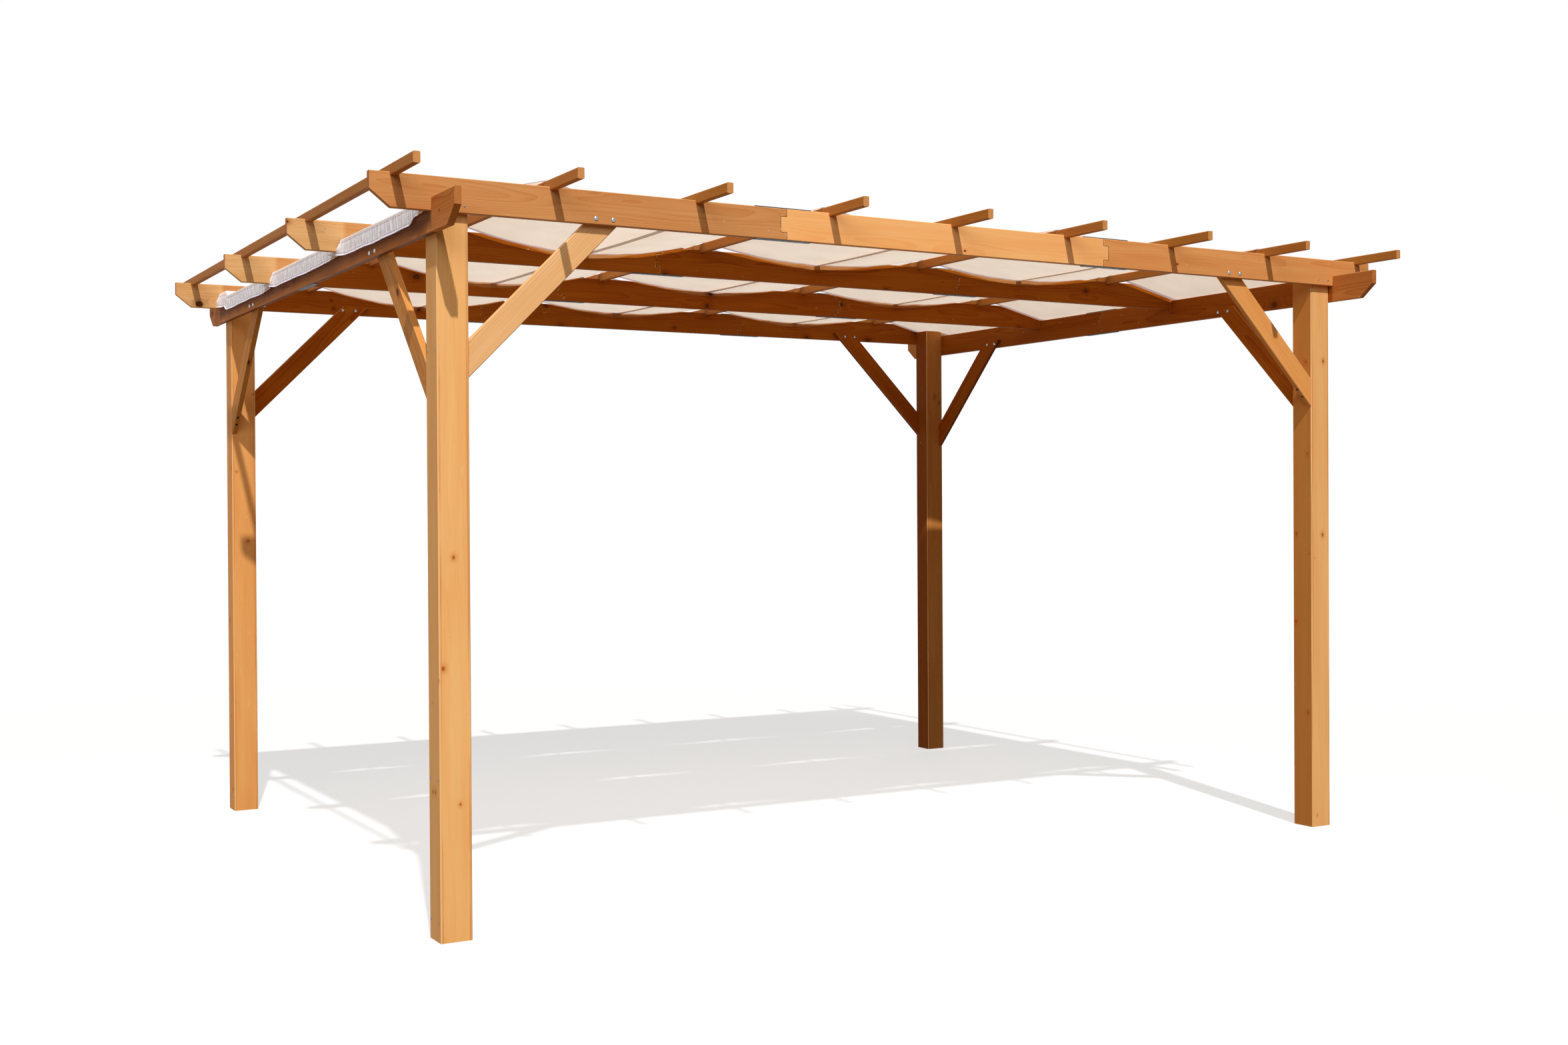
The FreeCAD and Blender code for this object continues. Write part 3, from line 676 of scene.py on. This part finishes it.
class PERGOLA_OT_posts(bpy.types.Operator):
    """Stain the four posts"""

    bl_idname = "pergola.posts"
    bl_label = "Posts"

    def execute(self, context):
        finish_timber((
            ("post_front_left", ALONG_Z, "E6AC68", (95.0, 60.0), 0.25, 1.1),
            ("post_front_right", ALONG_Z, "E2A866", (90.0, -70.0), 0.3, 0.9),
            ("post_back_left", ALONG_Z, "D99754", (-85.0, 75.0), 0.3, 0.9),
            ("post_back_right", ALONG_Z, "BE7C3C", (80.0, 90.0), 0.4, 0.7),
        ), context.scene.pergola_timber.beam_end, post=True)
        return {"FINISHED"}


class PERGOLA_OT_long_beams(bpy.types.Operator):
    """Stain the four long beams, three pieces each"""

    bl_idname = "pergola.long_beams"
    bl_label = "Long beams"

    def execute(self, context):
        look = context.scene.pergola_timber
        finish_timber((
            ("front_beam_left", ALONG_X, "C6884F", (64.0, 22.0), 0.6, 0.8),
            ("front_beam_middle", ALONG_X, "EDAD6A", (70.0, -35.0), 0.45, 0.3),
            ("front_beam_right", ALONG_X, "D48F50", (-66.0, 30.0), 0.5, 0.6),
        ), look.beam_end, joint=LONG_JOINT)
        # The inner and back beams' deep red stain is painted shade: it stands for the shade under the canopy, darker
        # than the front beam's.
        finish_timber((
            ("inner_front_beam_left", ALONG_X, "A85A12", (58.0, 12.0), 0.6, 0.8),
            ("inner_front_beam_middle", ALONG_X, "A4560E", (-52.0, 20.0), 0.7, 1.2),
            ("inner_front_beam_right", ALONG_X, "A4560E", (60.0, -24.0), 0.7, 1.2),
            ("inner_back_beam_left", ALONG_X, "AC5C12", (62.0, 26.0), 0.6, 1.0),
            ("inner_back_beam_middle", ALONG_X, "A8560E", (-58.0, -18.0), 0.7, 1.2),
            ("inner_back_beam_right", ALONG_X, "A8560E", (66.0, 10.0), 0.7, 1.2),
            ("back_beam_left", ALONG_X, "A85810", (54.0, -30.0), 0.7, 1.2),
            ("back_beam_middle", ALONG_X, "A2540E", (-60.0, 24.0), 0.7, 1.6),
            ("back_beam_right", ALONG_X, "A2540E", (56.0, 16.0), 0.7, 1.6),
        ), look.beam_end, joint=LONG_JOINT, covered=True)
        return {"FINISHED"}


class PERGOLA_OT_end_beams(bpy.types.Operator):
    """Stain the two end beams, two pieces each"""

    bl_idname = "pergola.end_beams"
    bl_label = "End beams"

    def execute(self, context):
        # Their deep stain is painted shade of the canopy and its flaps, darkest on the left beam's outer face.
        finish_timber((
            ("left_end_beam_front", ALONG_Y, "7C4616", (-62.0, 28.0), 0.7, 0.4),
            ("left_end_beam_back", ALONG_Y, "764012", (66.0, -20.0), 0.7, 0.6),
            ("right_end_beam_front", ALONG_Y, "A05210", (-58.0, -24.0), 0.6, 0.4),
            ("right_end_beam_back", ALONG_Y, "9C5010", (60.0, 22.0), 0.6, 0.8),
        ), context.scene.pergola_timber.beam_end, joint=END_JOINT, covered=True)
        return {"FINISHED"}


class PERGOLA_OT_battens(bpy.types.Operator):
    """Stain the nine roof battens"""

    bl_idname = "pergola.battens"
    bl_label = "Roof battens"

    def execute(self, context):
        codes = ("B07030", "C4803C", "BC7832", "C47E3A", "BA742E", "C27C3A", "BA7630", "BE7A36", "BC7832")
        finish_timber([("batten_%d" % number, ALONG_Y, code, (28.0 - 7 * number, 40.0 - 9 * number), 0.6, 0.5)
                       for number, code in enumerate(codes, start=1)], context.scene.pergola_timber.batten_end)
        return {"FINISHED"}


class PERGOLA_OT_braces(bpy.types.Operator):
    """Stain the eight knee braces"""

    bl_idname = "pergola.braces"
    bl_label = "Knee braces"

    def execute(self, context):
        # The deep red colours of the braces that stand in the roof's shade, the back long ones and the right end ones,
        # are painted shade.
        codes = {
            "front_left_long": "E8BF8E", "front_right_long": "E2A05A", "back_left_long": "AE5E12",
            "back_right_long": "A6560E", "front_left_end": "D6A060", "front_right_end": "AA5A10",
            "back_left_end": "C4863E", "back_right_end": "A2540E"}
        rise = math.pi / 4
        pieces = []
        for number, (label, code) in enumerate(codes.items()):
            depth, side, kind = label.split("_")
            if kind == "long":
                turn = (0.0, -rise if side == "left" else rise - math.pi, 0.0)
            else:
                turn = (0.0, -rise, QUARTER if depth == "front" else -QUARTER)
            pith = ((-1) ** number * 48.0, 40.0 if number else 90.0)
            grain = {"front_left_end": 2.4, "front_left_long": 2.0}.get(label, 0.9)
            knots = 1.3 if kind == "end" and side == "left" else 0.2
            pieces.append(("brace_" + label, turn, code, pith, grain, knots))
        finish_timber(pieces, context.scene.pergola_timber.beam_end)
        return {"FINISHED"}


class PERGOLA_OT_splice_plates(bpy.types.Operator):
    """Galvanise the plates over and under the beam splices"""

    bl_idname = "pergola.splice_plates"
    bl_label = "Splice plates"

    def execute(self, context):
        # The plates' zinc is darkened well below bright zinc: painted shade, as they lie under the beams and cloth.
        material = zinc_plated_steel("galvanised_steel", shaded(context.scene.pergola_fittings.zinc, 2.4), 0.55)
        for node in ("long_beam_splice_plates", "end_beam_splice_plates"):
            coat(node, material)
        return {"FINISHED"}


class PERGOLA_OT_canopy(bpy.types.Operator):
    """Hang the three cloth strips over and under the battens"""

    bl_idname = "pergola.canopy"
    bl_label = "Canopy strips"

    def execute(self, context):
        look = context.scene.pergola_cloth
        main = strip_line(look, END_TOP, END_INNER, FLAP_DROP)
        # Beside a post the line runs over the post's top, and its flap is what is left of the same length.
        flap_drop = (run_length(half_line(1, END_TOP, END_INNER, FLAP_DROP))
                     - run_length(half_line(1, POST_TOP, -POST_FACE, 0.0)))
        lifted = strip_line(look, POST_TOP, -POST_FACE, flap_drop)
        length = run_length(main)
        material = woven_polyester(look, length + 2 * ROLL_RUN)
        for number, bay in enumerate(("front", "middle", "back")):
            self.strip(bay, number, main, lifted, length, material)
        return {"FINISHED"}

    def strip(self, bay, number, main, lifted, length, material):
        """One strip as a grid: distance along the line times distance across it, finer along the flaps."""
        ends = np.linspace(0, FLAP_ROOM, 30)
        roof = np.linspace(FLAP_ROOM, length - FLAP_ROOM, 340)[1:-1]
        stations = np.concatenate([ends, roof, length - ends[::-1]])
        across = np.linspace(0, STRIP_WIDTH, 160)
        grid = self.stretched(bay, number, sampled(main, stations), sampled(lifted, stations), stations, across)
        for side, reach in ((-1, stations), (1, length - stations)):
            grid = self.flap(number, side, reach, across, *grid)
        stations, grid = self.rolled(stations, length, np.stack(grid, axis=-1))
        uv = np.stack(np.broadcast_arrays(stations[:, None], across[None]), axis=-1).reshape(-1, 2)
        faces = quads(grid.shape[0], grid.shape[1])[:, ::-1].tolist()
        cloth = shown("canopy_%s_cloth" % bay, grid.reshape(-1, 3), faces, material, uv=uv)
        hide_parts("canopy_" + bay)

    def stretched(self, bay, number, base, raised, stations, across):
        """The strip's x, y and z on its grid, with straight flaps.

        Near the posts the line changes smoothly to the raised one. Between crests the middle of the cloth hangs a
        little lower than its hems, and the hems ripple.
        """
        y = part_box("canopy_" + bay)[0].y + across + (-0.002 if bay == "front" else 0.004)
        lift = np.zeros_like(across)
        if bay == "front":
            lift = 1 - np.clip((y - POST_BACK - 0.004) / 0.055, 0, 1)
        elif bay == "back":
            lift = 1 - np.clip((-POST_BACK - 0.004 - y) / 0.055, 0, 1)
        lift = lift * lift * (3 - 2 * lift)
        x = base[:, 0:1] * (1 - lift) + raised[:, 0:1] * lift
        z = base[:, 1:2] * (1 - lift) + raised[:, 1:2] * lift
        if bay == "middle":
            z = z + 0.0025 * (np.abs(base[:, 0:1]) > 1.79)

        # Hang is 0 at the crests and 1 half way between them, and roof is 0 outside the outermost crests.
        pitches = base[:, 0] / BATTEN_PITCH
        hang = np.cos(np.clip(pitches, -3, 3) * np.pi / 2)[:, None] ** 2
        roof = np.clip((3.0 - np.abs(pitches)) * 2 + 0.2, 0, 1)[:, None]
        billow = 4 * (across / STRIP_WIDTH) * (1 - across / STRIP_WIDTH)
        z = z - 0.005 * hang * roof * billow
        fade = np.exp(-np.minimum(across, STRIP_WIDTH - across) / 0.05)
        ripple = waves(stations, (0.083, 0.121, 0.19), 31 + number)[:, None]
        ripple = ripple + 0.5 * waves(stations[:, None] + 0.4 * across[None], (0.23, 0.31), 41 + number)
        z = z + 0.0022 * ripple * fade * hang * roof
        swing = waves(stations, (0.61, 0.93, 1.7), 51 + number)[:, None] * hang
        y = y[None] + np.sign(STRIP_WIDTH / 2 - across) * fade * (0.001 + 0.002 * swing) * roof
        return x, y, z

    def flap(self, number, side, reach, across, x, y, z):
        """Shape one flap: it leans and puckers outwards more the lower it is, and is quilted between its seams.

        At its back end the lower corner is drawn out under the beam beside it, and at its front end the edge rises.
        """
        # Down is 0 at the fold and 1 at the lower edge.
        down = np.clip(1 - reach / 0.062, 0, 1)[:, None]
        seed = number * 2 + side
        pucker = waves(across, (0.027, 0.041, 0.066), 61 + seed)[None]
        slant = waves(across[None] + 0.6 * reach[:, None], (0.033, 0.058), 81 + seed)
        quilt = np.sin(np.pi * np.clip((reach - 0.014) / 0.040, 0, 1))[:, None]
        x = x + side * down * (0.0064 + 0.0006 * pucker) + side * 0.0007 * quilt * (pucker + 0.8 * slant + 0.8)
        z = z + down * 0.002 * waves(across, (0.21, 0.47, 0.8), 71 + seed)[None]
        back_end = np.clip((across - STRIP_WIDTH + 0.07) / 0.07, 0, 1)[None] ** 2
        front_end = np.clip((0.09 - across) / 0.09, 0, 1)[None]
        x = x + side * 0.016 * back_end * (0.2 + 0.8 * down) * (down > 0)
        y = y + 0.083 * back_end * down ** 5 - 0.024 * front_end ** 2 * down ** 5
        z = z + 0.017 * back_end * down ** 2 + 0.006 * front_end * down ** 2
        return x, y, z

    def rolled(self, stations, length, grid):
        """Roll each flap's lower edge outwards, along an arc of a circle, and number the stations from the new end."""
        angles = np.linspace(0, ROLL_TURN, 9)[1:]
        first, last = (
            row[None] + np.stack([side * ROLL * (1 - np.cos(angles)), 0 * angles, -ROLL * np.sin(angles)], -1)[:, None]
            for side, row in ((-1, grid[0]), (1, grid[-1])))
        stations = np.concatenate([-ROLL * angles[::-1], stations, length + ROLL * angles]) + ROLL_RUN
        return stations, np.concatenate([first[::-1], grid, last])


class PERGOLA_OT_bolts(bpy.types.Operator):
    """Bolt the knee braces to the beams"""

    bl_idname = "pergola.bolts"
    bl_label = "Brace bolts"

    def execute(self, context):
        look = context.scene.pergola_fittings
        radius, corner = look.bolt_head, look.nut_corner
        head = turned([(radius, -SUNK), (radius, 0.0010)] + domed(0.96 * radius, 0.0012, look.bolt_rise - 0.0012), 24)
        nut = turned([(corner, -SUNK), (corner, 0.0034), (0.88 * corner, 0.0042)], 6)
        cap = turned([(0.82 * corner, 0.0030)] + domed(0.82 * corner, 0.0036, 0.0044), 20)
        heads, backs = [], []
        for depth, side in SIDES_Y:
            for places, y, way in ((heads, face_of("%s_beam_middle" % depth, Y, side), side),
                                   (backs, face_of("brace_%s_left_long" % depth, Y, -side), -side)):
                places += [((x, y, LONG_BOLT_HEIGHT), (0, way, 0)) for x in LONG_BOLTS]
        for label, side in SIDES_X:
            for places, x, way in ((heads, face_of("%s_end_beam_front" % label, X, side), side),
                                   (backs, face_of("brace_front_%s_end" % label, X, -side), -side)):
                places += [((x, y, END_BOLT_HEIGHT), (way, 0, 0)) for y in END_BOLTS]
        bright = zinc_plated_steel("bright_zinc_plated_steel", look.zinc, 0.3)
        fasten("brace_bolt_heads", head, heads, bright, True)
        fasten("brace_bolt_nuts", nut, backs, bright, False)
        fasten("brace_bolt_caps", cap, backs, bright, True)
        return {"FINISHED"}


class PERGOLA_OT_screws(bpy.types.Operator):
    """Drive the screws of the posts, braces and splice plates"""

    bl_idname = "pergola.screws"
    bl_label = "Screws"

    def execute(self, context):
        look = context.scene.pergola_fittings
        radius = look.screw_head
        profile = [(radius, -SUNK), (radius, 0.0006), (radius * 0.8, 0.0012), (radius * 0.36, 0.0013),
                   (radius * 0.3, 0.0001)]
        head = turned(profile, 12)
        sunk = turned([(1.6 * across, 0.5 * rise) for across, rise in profile], 12)
        dull = zinc_plated_steel("dull_zinc_plated_steel", shaded(look.zinc, 1.5), 0.4)
        # Nearly black: the brace screws paint the shade of the holes they sit in.
        dark = zinc_plated_steel("hole_shade_zinc_plated_steel", shaded(look.zinc, 5.0), 0.5)
        fasten("post_screws", head, self.post_places(), dull, False)
        fasten("splice_plate_screws", head, self.plate_places(), dull, False)
        fasten("brace_screws", sunk, self.brace_places(), dark, False)
        return {"FINISHED"}

    def post_places(self):
        """Through the outer long beams into the posts, and in pairs in the outer side of each post."""
        places = [((x, face_of("%s_beam_left" % depth, Y, side), BEAM_SCREW_HEIGHT), (0, side, 0))
                  for depth, side in SIDES_Y for x in BEAM_SCREWS]
        for depth, _ in SIDES_Y:
            for label, side in SIDES_X:
                post = "post_%s_%s" % (depth, label)
                places += [((face_of(post, X, side), middle_of(post, Y) + step, z), (side, 0, 0))
                           for z in POST_SCREW_HEIGHTS for step in (-POST_SCREW_STEP, POST_SCREW_STEP)]
        return places

    def brace_places(self):
        """Up through the lower edge of each brace into the post, just above the brace's foot."""
        places = []
        for depth, side_y in SIDES_Y:
            for label, side_x in SIDES_X:
                end, long = ("brace_%s_%s_%s" % (depth, label, kind) for kind in ("end", "long"))
                for rise in BRACE_SCREW_RISES:
                    y = face_of(end, Y, side_y) - side_y * rise
                    places.append(((middle_of(end, X), y, face_of(end, Z, -1) + rise), (0, -side_y, -1)))
                    x = face_of(long, X, side_x) - side_x * rise
                    places.append(((x, middle_of(long, Y), face_of(long, Z, -1) + rise), (-side_x, 0, -1)))
        return places

    def plate_places(self):
        """In a row through the plates over and under each splice."""
        rows = []
        for beam in ("front_beam", "inner_front_beam", "inner_back_beam", "back_beam"):
            y = middle_of(beam + "_middle", Y)
            rows += [(beam + "_middle", splice + step, y) for splice in SPLICES for step in PLATE_SCREW_STEPS]
        for label, _ in SIDES_X:
            beam = "%s_end_beam_front" % label
            rows += [(beam, middle_of(beam, X), step) for step in PLATE_SCREW_STEPS]
        return [((x, y, face_of(beam, Z, way) + way * PLATE_THICKNESS), (0, 0, way))
                for beam, x, y in rows for way in (1, -1)]


class PERGOLA_OT_stage(bpy.types.Operator):
    """Lay the floor and set the lights and the camera"""

    bl_idname = "pergola.stage"
    bl_label = "Stage"

    def execute(self, context):
        look = context.scene.pergola_stage
        self.floor()
        self.lights(look)
        self.world(look)
        self.camera(look)
        context.scene.view_settings.view_transform = "Standard"
        return {"FINISHED"}

    def floor(self):
        """A round floor, pale near the posts and fading into the white of the backdrop further out."""
        angle = np.linspace(0, 2 * np.pi, 96, endpoint=False)
        radii = np.array([0.5, 4.0, 9.0, 30.0, 90.0])
        ring = np.stack([np.cos(angle), np.sin(angle), np.zeros_like(angle)], axis=-1)
        vertices = (radii[:, None, None] * ring).reshape(-1, 3)
        faces = quads(len(radii), len(angle), closed=True)[:, ::-1].tolist() + [list(range(len(angle)))]
        mesh = bpy.data.meshes.new("floor")
        mesh.from_pydata(vertices.tolist(), [], faces)
        floor = linked("floor", mesh)
        material, add = new_material("pale_floor_paint")
        away = add("VectorMath", {0: add("TexCoord", output="Object")}, "Value", operation="LENGTH")
        fade = add("MapRange", {0: away, 1: 3.0, 2: 7.0, 3: 0.62, 4: 1.0}, interpolation_type="SMOOTHSTEP")
        seen = backdrop_rays(add)
        white = add("Math", {0: seen, 1: fade}, operation="MULTIPLY")
        lit = add("BsdfDiffuse", {"Color": layered(add, linear("6E5840"), [(seen, linear("F4F4F4"))])})
        backdrop = add("Emission", {"Color": WHITE, "Strength": 1.0})
        above = add("MixShader", {0: white, 1: lit, 2: backdrop})
        # From below the floor isn't there, so that the underside can be looked at.
        below = add("NewGeometry", output="Backfacing")
        add("OutputMaterial", {"Surface": add("MixShader", {0: below, 1: above, 2: add("BsdfTransparent")})}, None)
        mesh.materials.append(material)

    def lights(self, look):
        """A sun from the upper front left, and three soft lamps in front, on the left and behind."""
        sun = bpy.data.lights.new("sun", "SUN")
        sun.energy = look.sun
        sun.angle = look.sun_angle
        linked("sun", sun).rotation_euler = Vector((0.295, 1.0, -1.335)).to_track_quat("-Z", "Y").to_euler()
        for name, power, code, size, place, aim in (
                ("fill", look.fill, "FCF6F0", (3.0, 1.2), (-4.8, 1.4, 0.8), (1.0, 0.0, 0.0)),
                ("front", look.front, "FFFFFF", (8.0, 5.0), (-6.0, -8.5, 6.5), (5.0, 8.0, -4.8)),
                ("back", look.back, "FFF6EA", (7.0, 2.0), (7.5, 8.5, 3.4), (-7.5, -8.5, -1.6))):
            area = bpy.data.lights.new(name, "AREA")
            area.shape = "RECTANGLE"
            area.size, area.size_y = size
            area.energy = power
            area.color = linear(code)[:3]
            lamp = linked(name, area)
            lamp.visible_camera = False
            lamp.location = place
            lamp.rotation_euler = Vector(aim).to_track_quat("-Z", "Y").to_euler()

    def world(self, look):
        """A dim warm light from all round, and a white backdrop for the rays that see it."""
        world = bpy.data.worlds.new("studio")
        world.use_nodes = True
        add = emptied(world.node_tree)
        ambient = add("Background", {"Color": linear("FFECD6"), "Strength": look.ambient})
        white = add("Background", {"Color": WHITE, "Strength": 1.0})
        add("OutputWorld", {"Surface": add("MixShader", {0: backdrop_rays(add), 1: ambient, 2: white})}, None)
        bpy.context.scene.world = world

    def camera(self, look):
        """Stand where the photograph was taken: yaw to the right of +Y, then pitch, then roll."""
        yaw, pitch, roll = (math.radians(degrees) for degrees in CAMERA_TURN)
        forward = Vector((math.sin(yaw) * math.cos(pitch), math.cos(yaw) * math.cos(pitch), math.sin(pitch)))
        level = Vector((math.cos(yaw), -math.sin(yaw), 0.0))
        upright = level.cross(forward)
        right = math.cos(roll) * level + math.sin(roll) * upright
        up = -math.sin(roll) * level + math.cos(roll) * upright
        view = bpy.data.cameras.new("camera")
        view.lens = look.lens
        view.sensor_width = 36.0
        view.clip_start, view.clip_end = 0.1, 300.0
        camera = linked("camera", view)
        turn = Matrix((right, up, -forward)).transposed().to_4x4()
        camera.matrix_world = Matrix.Translation(CAMERA_PLACE) @ turn
        bpy.context.scene.camera = camera


class PERGOLA_PT_panel(bpy.types.Panel):
    """Sidebar panel with a button for each group of pieces"""

    bl_idname = "PERGOLA_PT_panel"
    bl_label = "Pergola"
    bl_space_type = "VIEW_3D"
    bl_region_type = "UI"
    bl_category = "Pergola"

    def draw(self, context):
        for operator in OPERATORS:
            self.layout.operator(operator.bl_idname)


OPERATORS = (
    PERGOLA_OT_posts, PERGOLA_OT_long_beams, PERGOLA_OT_end_beams, PERGOLA_OT_battens, PERGOLA_OT_braces,
    PERGOLA_OT_splice_plates, PERGOLA_OT_canopy, PERGOLA_OT_bolts, PERGOLA_OT_screws, PERGOLA_OT_stage,
)
PROPERTIES = (("pergola_timber", TimberLook), ("pergola_cloth", ClothLook), ("pergola_fittings", FittingLook),
              ("pergola_stage", StageLook))


def register():
    for name, look in PROPERTIES:
        bpy.utils.register_class(look)
        setattr(bpy.types.Scene, name, bpy.props.PointerProperty(type=look))
    for operator in OPERATORS:
        bpy.utils.register_class(operator)
    bpy.utils.register_class(PERGOLA_PT_panel)


def unregister():
    bpy.utils.unregister_class(PERGOLA_PT_panel)
    for operator in reversed(OPERATORS):
        bpy.utils.unregister_class(operator)
    for name, look in reversed(PROPERTIES):
        delattr(bpy.types.Scene, name)
        bpy.utils.unregister_class(look)


def main():
    register()
    for operator in OPERATORS:
        group, name = operator.bl_idname.split(".")
        getattr(getattr(bpy.ops, group), name)()
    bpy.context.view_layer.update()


if __name__ == "__main__":
    main()
